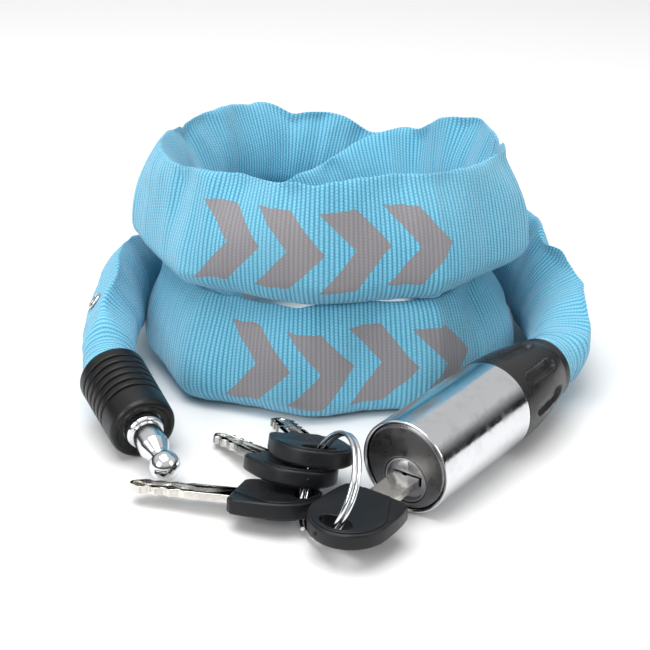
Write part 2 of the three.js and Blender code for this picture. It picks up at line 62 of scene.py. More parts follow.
PLUG_DROP = 4.2
BARREL = {"radius": 13.5, "wall": 0.9, "shell": 44.0, "length": 75.0, "anchor": 52.3, "sleeve_from": 66.0}
SOCKET = {"z": 31.6, "mouth": 6.3}
BOOT = {
    "radius": 9.8, "flare": 0.5, "length": 28.5, "bore": 8.1, "grooves": 6, "groove_start": 8.5,
    "sleeve_to": 20.6, "rivet_behind": 31.0,
}
PIN = {"ball": 4.5, "ball_z": -17.0, "neck": 2.8, "shaft": 4.4, "collar": 5.6, "shank": 2.5}
LINK = {"count": 29, "last": 18.0, "bar": 2.4, "joint_z": 14.0}
SLEEVE = {"radius": 8.7, "tail_radius": 8.5, "boot_radius": 7.5, "cinch": 2.4, "rings": 1100, "sides": 56}
KEY = {
    "length": 24.0, "width": 22.4, "thick": 5.2, "slot_to_end": 4.9, "slot": (5.4, 9.8),
    "blade": 29.5, "blade_thick": 2.2, "cuts": 17.0,
}
KEY_SHOULDER = KEY["length"] - KEY["slot_to_end"] + 0.3
KEY_TIP = KEY_SHOULDER + KEY["blade"]
RING = {"radius": 14.0, "wire": 1.2, "pitch": 1.45, "turns": 1.95}
RING_CENTRE = Vector((1.2, -129.6, 15.2))
RING_NORMAL = Vector((0.875, 0.222, -0.43))
SPARE_KEYS = {2: (104.5, -16, 12), 3: (125, -11, 16), 4: (167.5, -1, 14)}  # heading, slope, roll, degrees

# Route of the chain line: x, y, height above the floor, the sleeve's height above the line, and lean
ROUTE = [
    (73, -45.5, 13, 12, 50), (74, -27, 12, 20, 30), (72.5, -5, 11.5, 25, 6), (68, 17, 13, 26.5, 0),
    (57, 38, 18, 26, 0), (37, 53, 26, 25, 0), (10, 60, 35, 24, 0), (-16, 57, 42, 23, 0),
    (-36, 43.5, 45, 23, 0), (-49.5, 21, 46, 24, 0), (-53.5, -5, 46, 25, 0), (-47, -31, 45.6, 27, 0),
    (-29, -50.5, 45.4, 28, 0), (0, -60, 45.3, 28.5, 0), (30, -53, 45.3, 28.5, 0), (51, -35, 45.3, 28, 0),
    (57, -9, 45.3, 27.5, 0), (50, 17, 44, 27, 0), (31, 34, 38, 25, 0), (6, 37, 29, 23, 0),
    (-20, 26, 20, 22, 0), (-39, 12, 13, 23, 0), (-50, -8, 9.5, 25.5, 0), (-49.5, -30, 8.8, 27, 0),
    (-38, -47.5, 8.8, 27.5, 0), (-21, -57, 8.8, 27.5, 0), (0, -60, 8.8, 27.5, 0), (30, -54, 8.8, 27.5, 0),
    (49, -36, 8.8, 27.5, 0), (53, -9, 8.8, 25, 0), (47.5, 17, 8.8, 17, 0), (29, 39, 8.8, 16.5, 0),
    (3, 51, 8.8, 16.5, 0), (-25, 47, 8.8, 16.5, 0), (-47, 33, 9.5, 17, 0), (-61, 12, 12, 20, 0),
    (-67, -13, 16, 21, 0), (-67.5, -34, 18.6, 17, 0), (-67.3, -48, 18.2, 13, 0),
]

CAMERA = {"place": (0, -455, 207), "pitch": 24.2, "view": 25.27}


def at(x, y, z):
    """A point of the coil's own millimetres, in the row frame."""
    return Vector((x, y, z)) * MM + SHIFT


def frame_at(origin, z_axis, hint, hint_is="y"):
    """A placing matrix: +Z along z_axis, and +Y or +X as near the hint as it can be; input in mm."""
    z = z_axis.normalized()
    side = hint.cross(z) if hint_is == "y" else hint - z * hint.dot(z)
    x = side.normalized()
    turn = Matrix((x, z.cross(x), z)).transposed().to_4x4()
    return Matrix.Translation(origin) @ turn @ Matrix.Scale(MM, 4)


BARREL_AXIS = Vector(JOINTS["plug_turn"]["axis"])
BARREL_FACE = Vector(JOINTS["plug_turn"]["pos_m"]) + UP * PLUG_DROP * MM
BARREL_FRAME = frame_at(BARREL_FACE, BARREL_AXIS, UP)
PLUG_FRAME = BARREL_FRAME @ Matrix.Translation((0, -PLUG_DROP, 0))
BOOT_AXIS = Vector(JOINTS["pin_swivel"]["axis"])
BOOT_FRONT = Vector(JOINTS["pin_swivel"]["pos_m"]) - BOOT_AXIS * PIN["ball_z"] * MM
BOOT_FRAME = frame_at(BOOT_FRONT, BOOT_AXIS, UP)
RING_FRAME = frame_at(at(*RING_CENTRE), RING_NORMAL, -UP, "x")


def on_barrel(z):
    return BARREL_FACE + BARREL_AXIS * z * MM


def on_boot(z):
    return BOOT_FRONT + BOOT_AXIS * z * MM


# ------------------------------------------------------------------ camera

def add_camera():
    data = bpy.data.cameras.new("camera")
    data.sensor_width = 36
    data.lens = 18 / math.tan(math.radians(CAMERA["view"] / 2))
    camera = bpy.data.objects.new("camera", data)
    camera.location = at(*CAMERA["place"])
    camera.rotation_euler = (math.radians(90 - CAMERA["pitch"]), 0, 0)
    bpy.context.scene.collection.objects.link(camera)
    bpy.context.scene.camera = camera


add_camera()

# ------------------------------------------------------------------ mesh helpers

def mesh_object(name, verts, faces, matrix=None, smooth_angle=35):
    """A new object whose mesh is already in the row frame, smooth but for edges sharper than an angle."""
    mesh = bpy.data.meshes.new(name)
    mesh.from_pydata([tuple(v) for v in verts], [], faces)
    if matrix is not None:
        mesh.transform(matrix)
    return object_of(name, mesh, smooth_angle)


def object_of(name, mesh, smooth_angle=35):
    work = bmesh.new()
    work.from_mesh(mesh)
    bmesh.ops.recalc_face_normals(work, faces=work.faces)
    work.to_mesh(mesh)
    work.free()
    mesh.shade_smooth()
    mesh.set_sharp_from_angle(angle=math.radians(smooth_angle))
    piece = bpy.data.objects.new(name, mesh)
    bpy.context.scene.collection.objects.link(piece)
    even = piece.modifiers.new("even normals", "WEIGHTED_NORMAL")
    even.keep_sharp = True
    return piece


def softened(profile, radius, steps=3, closed=False):
    """The profile with each corner rounded by a short curve of up to that radius."""
    result = []
    count = len(profile)
    for i, point in enumerate(profile):
        here = Vector(point)
        if not closed and i in (0, count - 1):
            result.append(here)
            continue
        before = Vector(profile[i - 1]) - here
        after = Vector(profile[(i + 1) % count]) - here
        reach = min(radius, before.length * 0.45, after.length * 0.45)
        if reach < 1e-6 or before.angle(after) > math.radians(172):
            result.append(here)
            continue
        start = here + before.normalized() * reach
        end = here + after.normalized() * reach
        for step in range(steps + 1):
            t = step / steps
            result.append(start * (1 - t) ** 2 + here * 2 * t * (1 - t) + end * t ** 2)
    return result


def lathe(name, profile, matrix, radius=0.25, closed=False, segments=96, shape=None):
    """A turned piece about local Z from a profile of (radius, z). shape may change a point's radius."""
    outline = softened(profile, radius, closed=closed)
    verts = []
    for r, z in outline:
        for k in range(segments):
            angle = 2 * math.pi * k / segments
            reach = max(r, 1e-4) if shape is None else shape(max(r, 1e-4), z, angle)
            verts.append((reach * math.cos(angle), reach * math.sin(angle), z))
    rows = len(outline)
    faces = []
    for i in range(rows if closed else rows - 1):
        a = i * segments
        b = ((i + 1) % rows) * segments
        for k in range(segments):
            n = (k + 1) % segments
            faces.append((a + k, a + n, b + n, b + k))
    piece = mesh_object(name, verts, faces, matrix)
    merge = bmesh.new()
    merge.from_mesh(piece.data)
    bmesh.ops.remove_doubles(merge, verts=merge.verts, dist=1e-7)
    merge.to_mesh(piece.data)
    merge.free()
    return piece


def mesh_of_curve(name, data):
    """The curve's surface as a mesh. The curve's own object is only there for the conversion."""
    source = bpy.data.objects.new(name, data)
    bpy.context.scene.collection.objects.link(source)
    bpy.context.view_layer.update()
    graph = bpy.context.evaluated_depsgraph_get()
    mesh = bpy.data.meshes.new_from_object(source.evaluated_get(graph))
    bpy.data.objects.remove(source)
    return mesh


def bitten(piece, *cutters):
    """Cuts the cutters out of a piece for good, and removes them."""
    for cutter in cutters:
        cut = piece.modifiers.new("cut", "BOOLEAN")
        cut.operation = "DIFFERENCE"
        cut.object = cutter
        cut.solver = "EXACT"
        piece.modifiers.move(len(piece.modifiers) - 1, len(piece.modifiers) - 2)
    bpy.context.view_layer.update()
    graph = bpy.context.evaluated_depsgraph_get()
    done = bpy.data.meshes.new_from_object(piece.evaluated_get(graph))
    piece.modifiers.clear()
    piece.data = done
    for cutter in cutters:
        bpy.data.objects.remove(cutter)


def plate(name, outline, thick, edge, matrix, holes=(), lift=0.0):
    """A flat plate with rounded edges from a closed outline of (x, y), centred on local Z = lift."""
    data = bpy.data.curves.new(name, "CURVE")
    data.dimensions = "2D"
    data.fill_mode = "BOTH"
    for loop in (outline, *holes):
        spline = data.splines.new("POLY")
        spline.points.add(len(loop) - 1)
        for point, (x, y) in zip(spline.points, loop):
            point.co = (x, y, 0, 1)
        spline.use_cyclic_u = True
    data.extrude = thick / 2 - edge
    data.bevel_depth = edge
    data.bevel_resolution = 2
    data.offset = -edge
    mesh = mesh_of_curve(name, data)
    mesh.transform(matrix @ Matrix.Translation((0, 0, lift)))
    return object_of(name, mesh, 28)


def joined(name, pieces):
    """One object from several, with their meshes as loose parts."""
    work = bmesh.new()
    for piece in pieces:
        work.from_mesh(piece.data)
        bpy.data.objects.remove(piece)
    mesh = bpy.data.meshes.new(name)
    work.to_mesh(mesh)
    work.free()
    return object_of(name, mesh, 30)


def arc(centre, radius, start, end, steps):
    """Points on an arc, angles in degrees."""
    angles = [math.radians(start + (end - start) * i / steps) for i in range(steps + 1)]
    return [(centre[0] + radius * math.cos(a), centre[1] + radius * math.sin(a)) for a in angles]


def dress(piece, material, body, slot, *nodes):
    """Gives a piece its material and its body, and hides the CAD nodes that it stands for; slot is not used."""
    piece.data.materials.clear()
    piece.data.materials.append(material)
    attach(piece, body)
    if nodes:
        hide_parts(*nodes)
    return piece


# ------------------------------------------------------------------ materials

class Shader:
    """A Principled material, with short calls for the nodes that feed it."""

    def __init__(self, name, color, roughness, metallic=0.0, **settings):
        self.material = bpy.data.materials.new(name)
        self.material.use_nodes = True
        self.tree = self.material.node_tree
        self.main = self.tree.nodes["Principled BSDF"]
        self.set("Base Color", (*color, 1))
        self.set("Roughness", roughness)
        self.set("Metallic", metallic)
        for key, value in settings.items():
            self.set(key.replace("_", " "), value)

    def set(self, socket, value):
        self.main.inputs[socket].default_value = value

    def link(self, value, socket):
        if isinstance(value, bpy.types.NodeSocket):
            self.tree.links.new(value, socket)
        else:
            socket.default_value = value

    def feed(self, socket, value):
        self.link(value, self.main.inputs[socket])

    def math(self, operation, *values):
        node = self.tree.nodes.new("ShaderNodeMath")
        node.operation = operation
        for socket, value in zip(node.inputs, values):
            self.link(value, socket)
        return node.outputs[0]

    def coordinates(self, kind):
        node = self.tree.nodes.new("ShaderNodeTexCoord")
        return node.outputs[kind]

    def stretched(self, scale, kind="Object", turn=(0, 0, 0)):
        node = self.tree.nodes.new("ShaderNodeMapping")
        node.inputs["Scale"].default_value = scale
        node.inputs["Rotation"].default_value = turn
        self.link(self.coordinates(kind), node.inputs["Vector"])
        return node.outputs[0]

    def noise(self, vector, scale, detail=3.0, roughness=0.5):
        node = self.tree.nodes.new("ShaderNodeTexNoise")
        node.inputs["Scale"].default_value = scale
        node.inputs["Detail"].default_value = detail
        node.inputs["Roughness"].default_value = roughness
        self.link(vector, node.inputs["Vector"])
        return node.outputs["Fac"]

    def ranged(self, value, low, high, to_low, to_high):
        node = self.tree.nodes.new("ShaderNodeMapRange")
        for socket, number in zip(node.inputs[:5], (value, low, high, to_low, to_high)):
            self.link(number, socket)
        return node.outputs[0]

    def mixed(self, factor, first, second):
        node = self.tree.nodes.new("ShaderNodeMix")
        node.data_type = "RGBA"
        self.link(factor, node.inputs["Factor"])
        self.link(first, node.inputs["A"])
        self.link(second, node.inputs["B"])
        return node.outputs["Result"]

    def bump(self, height, distance, strength=1.0):
        node = self.tree.nodes.new("ShaderNodeBump")
        node.inputs["Strength"].default_value = strength
        node.inputs["Distance"].default_value = distance
        self.link(height, node.inputs["Height"])
        self.feed("Normal", node.outputs[0])


def metal(name, color, roughness, blotch, scratch, turn=(0, 0, 0)):
    """Plated or bare metal: cloudy roughness, faint darker patches, and fine scratches."""
    shader = Shader(name, color, roughness, 1.0)
    clouds = shader.noise(shader.stretched((1, 1, 1)), 220, 4, 0.6)
    shader.feed("Roughness", shader.ranged(clouds, 0.35, 0.75, roughness, roughness + blotch))
    darker = tuple(c * 0.72 for c in color) + (1,)
    shader.feed("Base Color", shader.mixed(shader.ranged(clouds, 0.5, 0.9, 0, 0.6), (*color, 1), darker))
    lines = shader.noise(shader.stretched((2600, 2600, 60), turn=turn), 1, 2, 0.5)
    dents = shader.noise(shader.stretched((1, 1, 1)), 420, 3, 0.55)
    shader.bump(shader.math("ADD", lines, shader.math("MULTIPLY", dents, 2.0)), 0.00003, scratch)
    return shader.material


def plastic(name, color, roughness, grain, depth):
    """Moulded plastic or rubber: fine grain, and a little dust and wear in its gloss."""
    shader = Shader(name, color, roughness, 0.0, Specular_IOR_Level=0.3)
    vector = shader.stretched((1, 1, 1))
    wear = shader.noise(vector, 130, 5, 0.65)
    shader.feed("Roughness", shader.ranged(wear, 0.35, 0.7, roughness - 0.06, roughness + 0.12))
    paler = tuple(c * 1.5 + 0.004 for c in color) + (1,)
    shader.feed("Base Color", shader.mixed(shader.ranged(wear, 0.45, 0.8, 0, 0.5), (*color, 1), paler))
    shader.bump(shader.noise(vector, grain, 2, 0.5), depth, 0.6)
    return shader.material


def webbing(name, prints):
    """Ribbed woven sleeve. UV is in metres: x along the sleeve, y round it from its lower line, out > 0."""
    rib, cell = 0.00128, 0.00096
    shader = Shader(
        name, (0.13, 0.49, 0.79), 0.72, 0.0, Specular_IOR_Level=0.25,
        Sheen_Weight=0.4, Sheen_Roughness=0.5, Sheen_Tint=(0.8, 0.9, 1.0, 1),
    )
    split = shader.tree.nodes.new("ShaderNodeSeparateXYZ")
    shader.link(shader.coordinates("UV"), split.inputs[0])
    u, v = split.outputs[0], split.outputs[1]
    turns = shader.math("DIVIDE", u, rib)
    wave = shader.math("COSINE", shader.math("MULTIPLY", turns, 2 * math.pi))
    ribs = shader.math("POWER", shader.ranged(wave, -1, 1, 0, 1), 0.6)
    odd = shader.math("MULTIPLY", shader.math("FLOOR", shader.math("ADD", turns, 0.5)), 0.5)
    rows = shader.math("ADD", shader.math("DIVIDE", v, cell), odd)
    knots = shader.ranged(shader.math("COSINE", shader.math("MULTIPLY", rows, 2 * math.pi)), -1, 1, 0, 1)
    fibre = shader.noise(shader.stretched((1, 1, 1), "UV"), 2600, 3, 0.6)
    relief = shader.math("ADD", shader.math("MULTIPLY", ribs, 0.62), shader.math("MULTIPLY", knots, 0.24))
    relief = shader.math("ADD", relief, shader.math("MULTIPLY", fibre, 0.22))
    faded = shader.noise(shader.stretched((1, 1, 1)), 34, 3, 0.5)
    # Painted shade: the blue is mixed by the weave's relief, light on the ridges and deep in the rib valleys and
    # knot hollows where shade falls. The fibre noise in the relief adds some real fibre-to-fibre tone.
    light, deep = (0.18, 0.53, 0.7, 1), (0.008, 0.2, 0.38, 1)
    cloth_with_painted_rib_shade = shader.mixed(shader.ranged(relief, 0.2, 0.85, 0, 1), deep, light)
    worn = shader.mixed(shader.ranged(faded, 0.35, 0.75, 0, 0.35), cloth_with_painted_rib_shade, (0.23, 0.54, 0.68, 1))
    mask = None
    for along, around in prints:
        shape = arrow_mask(shader, u, v, along, around)
        mask = shape if mask is None else shader.math("MAXIMUM", mask, shape)
    # Painted shade on the print as well: the grey ink is darker in the rib valleys and lighter on the ridges, by
    # the same relief.
    ink_low, ink_high = (0.19, 0.18, 0.19, 1), (0.26, 0.25, 0.265, 1)
    ink_with_painted_rib_shade = shader.mixed(shader.ranged(relief, 0.2, 0.9, 0, 1), ink_low, ink_high)
    shader.feed("Base Color", shader.mixed(mask, worn, ink_with_painted_rib_shade))
    shader.feed("Roughness", shader.ranged(mask, 0, 1, 0.74, 0.5))
    covered = shader.math("MULTIPLY", relief, shader.ranged(mask, 0, 1, 1, 0.3))
    shader.bump(covered, 0.00042, 0.9)
    return shader.material


def arrow_mask(shader, u, v, along, around):
    """1 inside a row of plain arrow stripes of reflective ink, centred on a place of the sleeve."""
    pitch, stroke, length, height, slant = 0.0178, 0.0098, 0.068, 0.024, 0.8
    off = shader.math("ABSOLUTE", shader.math("SUBTRACT", v, around))
    middle = shader.math("SUBTRACT", off, height / 4)
    slanted = shader.math("ADD", shader.math("SUBTRACT", u, along), shader.math("MULTIPLY", middle, slant))
    place = shader.math("ADD", slanted, length / 2)
    stripe = shader.math("LESS_THAN", shader.math("FLOORED_MODULO", place, pitch), stroke)
    inside = shader.math("LESS_THAN", shader.math("ABSOLUTE", slanted), length / 2)
    tall = shader.math("LESS_THAN", off, height / 2)
    return shader.math("MULTIPLY", stripe, shader.math("MULTIPLY", inside, tall))


ALONG_BARREL = (math.radians(90), 0, math.atan2(-BARREL_AXIS.x, BARREL_AXIS.y))
POLISHED = metal("polished_steel", (0.74, 0.75, 0.77), 0.07, 0.2, 0.5, ALONG_BARREL)
FACE = metal("face_steel", (0.22, 0.22, 0.225), 0.26, 0.2, 0.35)
CHROME = metal("pin_chrome", (0.8, 0.81, 0.83), 0.13, 0.1, 0.15)
NICKEL = metal("nickel", (0.78, 0.75, 0.7), 0.2, 0.15, 0.2)
DARK_STEEL = metal("dark_steel", (0.42, 0.43, 0.45), 0.35, 0.15, 0.6)
BRASS = metal("brass", (0.71, 0.57, 0.32), 0.28, 0.15, 0.6)
CAP_PLASTIC = plastic("cap_plastic", (0.016, 0.016, 0.017), 0.26, 2500, 0.00002)
KEY_PLASTIC = plastic("key_plastic", (0.006, 0.0065, 0.008), 0.38, 4200, 0.00005)
RUBBER = plastic("boot_rubber", (0.006, 0.006, 0.0065), 0.36, 3000, 0.00004)

SLOT_MATERIALS = {
    "polished_steel": POLISHED, "nickel": NICKEL, "dark_steel": DARK_STEEL, "brass": BRASS,
    "cap_plastic": CAP_PLASTIC, "key_plastic": KEY_PLASTIC, "boot_rubber": RUBBER,
}


def paint_cad_nodes():
    """Every CAD node that stays takes the detailed material of its slot."""
    for entry in frame["record"]["subparts"]:
        node = frame["nodes"][entry["node"]]
        material = SLOT_MATERIALS.get(entry["material_slot"])
        if material is None:
            continue
        node.data.materials.clear()
        node.data.materials.append(material)


paint_cad_nodes()

# ------------------------------------------------------------------ sleeve

def catmull(points, t):
    """A point of the uniform Catmull-Rom curve through the points, t counted in points."""
    i = min(int(t), len(points) - 2)
    w = t - i
    p1, p2 = points[i], points[i + 1]
    p0 = points[i - 1] if i > 0 else p1 * 2 - p2
    p3 = points[i + 2] if i + 2 < len(points) else p2 * 2 - p1
    t0 = (p2 - p0) * 0.5
    t1 = (p3 - p1) * 0.5
    return p1 + t0 * w + (p2 * 3 - p1 * 3 - t0 * 2 - t1) * w ** 2 + (p1 * 2 - p2 * 2 + t0 + t1) * w ** 3


def smoothstep(x, low, high):
    t = min(max((x - low) / (high - low), 0.0), 1.0)
    return t * t * (3 - 2 * t)


TIGHT = 8.5
STOPS = [
    (on_barrel(BARREL["anchor"] - LINK["bar"] / 2), TIGHT, 50),
    (on_barrel(BARREL["length"] + 1), TIGHT, 50),
    *((at(x, y, z), rise, lean) for x, y, z, rise, lean in ROUTE),
    (on_boot(BOOT["length"] + 3), TIGHT, 0),
    (on_boot(LINK["joint_z"]), TIGHT, 0),
]


class ChainLine:
    """The chain line by length, with the sleeve's height above it and its lean."""

    def __init__(self, stops, samples=4000):
        points = [stop[0] for stop in stops]
        self.stops = stops
        self.samples = samples
        self.dense = [catmull(points, (len(points) - 1) * i / samples) for i in range(samples + 1)]
        self.lengths = [0.0]
        for before, after in zip(self.dense, self.dense[1:]):
            self.lengths.append(self.lengths[-1] + (after - before).length)
        self.total = self.lengths[-1]

    def index(self, length):
        low, high = 0, self.samples
        while high - low > 1:
            middle = (low + high) // 2
            if self.lengths[middle] <= length:
                low = middle
            else:
                high = middle
        span = self.lengths[high] - self.lengths[low]
        return low + (length - self.lengths[low]) / span

    def point(self, length):
        place = self.index(min(max(length, 0.0), self.total))
        low = min(int(place), self.samples - 1)
        return self.dense[low].lerp(self.dense[low + 1], place - low)

    def tangent(self, length):
        reach = 0.0015
        return (self.point(length + reach) - self.point(length - reach)).normalized()

    def form(self, length):
        """Height above the line in mm, and lean in radians, eased from stop to stop."""
        t = self.index(min(max(length, 0.0), self.total)) / self.samples * (len(self.stops) - 1)
        i = min(int(t), len(self.stops) - 2)
        eased = smoothstep(t - i, 0, 1)
        rise = self.stops[i][1] * (1 - eased) + self.stops[i + 1][1] * eased
        lean = self.stops[i][2] * (1 - eased) + self.stops[i + 1][2] * eased
        return rise, math.radians(lean)

    def nearest(self, target):
        best = min(range(self.samples + 1), key=lambda i: (self.dense[i] - target).length)
        return self.lengths[best]


LINE = ChainLine(STOPS)
CHORD = (LINE.total - LINK["last"] * MM) / (LINK["count"] - 1)
MOUTH = (BARREL["sleeve_from"] - BARREL["anchor"] + LINK["bar"] / 2) * MM
CUFF = LINE.total - (BOOT["sleeve_to"] - LINK["joint_z"]) * MM


def wobble(x, y, seed):
    return noise.noise(Vector((x, y, seed * 7.31)))


def sleeve_frame(length):
    """Centre of the section, direction across it (outwards from the coil), and its upward direction."""
    link = min(int(length / CHORD), LINK["count"] - 1)
    start, end = link * CHORD, min((link + 1) * CHORD, LINE.total)
    straight = LINE.point(start).lerp(LINE.point(end), (length - start) / (end - start))
    centre = LINE.point(length).lerp(straight, 0.6)
    along = LINE.tangent(length)
    across = along.cross(UP).normalized()
    upright = across.cross(along).normalized()
    lean = LINE.form(length)[1]
    edge = upright * math.cos(lean) + across * math.sin(lean)
    return centre, edge.cross(along) * -1, edge


BENDS = [
    (-49.5, 21, 46), (-16, 57, 42), (10, 60, 35), (57, -9, 45.3),
    (38, 27, 41), (72.5, -5, 11.5), (-61, 30, 12),
]
PINCHES = [LINE.nearest(at(*bend)) / MM for bend in BENDS]


def pinch_at(mm):
    """How far the empty upper edge is pinched in, 0 to 1, at the sharper bends."""
    return sum(math.exp(-((mm - place) / 5.5) ** 2) for place in PINCHES)


def sleeve_point(length, angle):
    """A point of the woven surface. angle runs from the upper edge, out and down, round to the edge."""
    rise = LINE.form(length)[0]
    mm = length / MM
    snug = smoothstep(rise, TIGHT, 14)
    end_radius = SLEEVE["boot_radius"] if length > LINE.total / 2 else SLEEVE["tail_radius"]
    radius = end_radius * (1 - snug) + SLEEVE["radius"] * snug
    top = end_radius * (1 - snug) + (rise + 1.8 * wobble(mm / 30, 0, 1)) * snug
    c, h = math.sin(angle), math.cos(angle)
    upper = max(h, 0.0)
    if h > 0:
        cinch = 1 + (SLEEVE["cinch"] - 1) * snug
        width = math.copysign((radius - 1.3) * abs(c) ** cinch + 1.3 * abs(c) ** 0.5, c)
        height = top * h
    else:
        width = radius * c
        height = radius * h
    sway = 4.2 * wobble(mm / 27, 0, 2) + 1.3 * wobble(mm / 11, 0, 3)
    crease = 1.1 * wobble(mm / 15, h * 1.3, 4) + 0.4 * wobble(mm / 6, h * 1.1, 5)
    fold = 1.8 * max(0.0, wobble(mm / 19, h * 0.8 + 3, 6) - 0.12)
    lump = 0.6 * math.cos(2 * math.pi * length / CHORD) * (1 - upper) * snug
    hem = 1.0 - smoothstep(abs(c), 0.0, 0.45) if h > 0 else 0.0
    gather = 0.32 * (1 - snug * 0.9) * math.sin(2 * math.pi * mm / 2.6)
    pucker = 0.45 * snug * wobble(mm / 3.4, h * 0.35 + 2, 10)
    pinch = pinch_at(mm) * snug * upper
    bulge = snug * (crease * (0.8 + 1.8 * upper) - fold * (1 + 2.4 * upper))
    bulge += lump + gather + pucker - 2 * pinch
    clear = min(1.0, abs(c) * 2.2)
    width = math.copysign(max(abs(width) + bulge * clear, 0.5 * clear), c) + snug * sway * upper ** 1.6
    height += snug * hem * (0.9 * wobble(mm / 9, 0, 8) + 0.5 * wobble(mm / 4.5, 0, 9))
    height -= 2.4 * pinch * upper
    centre, across, edge = sleeve_frame(length)
    return centre + across * width * MM + edge * height * MM


def add_sleeve(material):
    rings, sides = SLEEVE["rings"], SLEEVE["sides"]
    lengths = [MOUTH + (CUFF - MOUTH) * i / rings for i in range(rings + 1)]
    verts = []
    around = []
    centres = []
    for length in lengths:
        loop = [sleeve_point(length, 2 * math.pi * k / sides) for k in range(sides)]
        verts.extend(loop)
        centres.append(sum(loop, Vector()) / sides)
        steps = [(loop[(k + 1) % sides] - loop[k]).length for k in range(sides)]
        lower = sum(steps[: sides // 2])
        around.append([lower - sum(steps[:k]) for k in range(sides + 1)])
    faces = []
    for i in range(rings):
        for k in range(sides):
            n = (k + 1) % sides
            faces.append((i * sides + k, i * sides + n, (i + 1) * sides + n, (i + 1) * sides + k))
    mesh = bpy.data.meshes.new("woven_sleeve")
    mesh.from_pydata([tuple(v) for v in verts], [], faces)
    uv = mesh.uv_layers.new(name="UVMap")
    for face in mesh.polygons:
        i, k = divmod(face.index, sides)
        corners = ((i, k), (i, k + 1), (i + 1, k + 1), (i + 1, k))
        for loop_index, (row, column) in zip(face.loop_indices, corners):
            uv.data[loop_index].uv = (lengths[row], around[row][column])
    mesh.shade_smooth()
    piece = bpy.data.objects.new("woven_sleeve", mesh)
    bpy.context.scene.collection.objects.link(piece)
    dress(piece, material, "lock", "sleeve_fabric", "sleeve")
    return piece, centres


UPPER_PRINT = LINE.nearest(at(2, -60, 45.3))
LOWER_PRINT = LINE.nearest(at(10, -60, 8.8))
WEBBING = webbing("sleeve_webbing", [(UPPER_PRINT, 0.0235), (LOWER_PRINT, 0.0225)])
sleeve, sleeve_path = add_sleeve(WEBBING)


def add_rivet():
    """A tubular eyelet, set square to the sleeve's outer wall above the boot."""
    length = LINE.total - (BOOT["length"] + BOOT["rivet_behind"] - LINK["joint_z"]) * MM
    angle = math.radians(60)
    here = sleeve_point(length, angle)
    along = sleeve_point(length + 0.001, angle) - sleeve_point(length - 0.001, angle)
    down = sleeve_point(length, angle + 0.05) - sleeve_point(length, angle - 0.05)
    outward = down.cross(along)
    if outward.dot(sleeve_frame(length)[1]) < 0:
        outward.negate()
    place = frame_at(here, outward, UP)
    tube, flange = [(1.3, -1.6), (1.7, -1.6), (1.7, -0.1)], [(2.7, 0.0), (3.1, 0.25), (2.8, 0.75)]
    profile = [*tube, *flange, (1.9, 1.0), (1.3, 0.5)]
    eyelet = lathe("sleeve_eyelet", profile, place, 0.2, closed=True, segments=48)
    return dress(eyelet, NICKEL, "lock", "nickel", "sleeve_rivet")


eyelet = add_rivet()

# ------------------------------------------------------------------ barrel

def add_shell():
    """The plated tube: rounded rim, and the round mouth for the pin in its underside."""
    r, wall, end, mouth = BARREL["radius"], BARREL["wall"], BARREL["shell"], SOCKET["mouth"]
    profile = [(r - wall, 0.4), (r - 0.45, 0.0), (r - 0.1, 0.05), (r, 0.3), (r, end), (r - wall, end)]
    shell = lathe("shell_tube", profile, BARREL_FRAME, 0.08, closed=True, segments=160)
    underside = frame_at(on_barrel(SOCKET["z"]) - UP * r * MM, UP, BARREL_AXIS)
    drill = lathe("drill", [(0, -4), (mouth, -4), (mouth, 5), (0, 5)], underside, 0.01, segments=64)
    bitten(shell, drill)
    shell.data.set_sharp_from_angle(angle=math.radians(40))
    return dress(shell, POLISHED, "lock", "polished_steel", "barrel_shell")


def add_face():
    """The polished disc round the plug, with a bevelled rim."""
    hole = 6.75
    rim = 12.25
    flat = [(hole, 0.62), (hole + 0.15, 0.5), (rim - 0.5, 0.5), (rim, 0.9), (rim, 3.0), (hole, 3.0)]
    disc = lathe("face_disc", flat, BARREL_FRAME, 0.1, closed=True, segments=160)
    to_barrel = BARREL_FRAME.inverted()
    for vertex in disc.data.vertices:
        local = to_barrel @ vertex.co
        reach = math.hypot(local.x, local.y)
        share = min(max((rim - reach) / (rim - hole), 0.0), 1.0)
        local.y -= PLUG_DROP * share
        vertex.co = BARREL_FRAME @ local
    return dress(disc, FACE, "lock", "polished_steel", "face_plate")


def flute_cut(r, z, angle):
    """Radius of the cap at a place, with eight pill-shaped finger grooves sunk into it."""
    count, half_width, start, end = 8, 1.9, 51.0, 65.0
    step = 2 * math.pi / count
    near = abs((angle - math.pi / 2 + step / 2) % step - step / 2) * r
    past = max(start - z, z - end, 0.0)
    away = math.hypot(near, past)
    depth = 1.3 * (1 - smoothstep(away, half_width * 0.5, half_width * 1.2))
    return r - depth if 45 < z < 71 and r > 9.5 else r


def add_cap():
    """The moulded tail cap: a dome with finger grooves and a plain collar where the sleeve goes in."""
    dome = [(13.45, 44.35), (13.45, 46.5)]
    for i in range(1, 41):
        t = i / 40
        dome.append((13.45 - 3.35 * t ** 1.9, 46.5 + 25.3 * t))
    profile = [(11.2, 44.35), *dome, (9.9, 72.2), (9.9, 75), (9.1, 75), (9.1, 63), (11.2, 59)]
    cap = lathe("cap_shell", profile, BARREL_FRAME, 0.2, closed=True, segments=240, shape=flute_cut)
    return dress(cap, CAP_PLASTIC, "lock", "cap_plastic", "tail_cap")


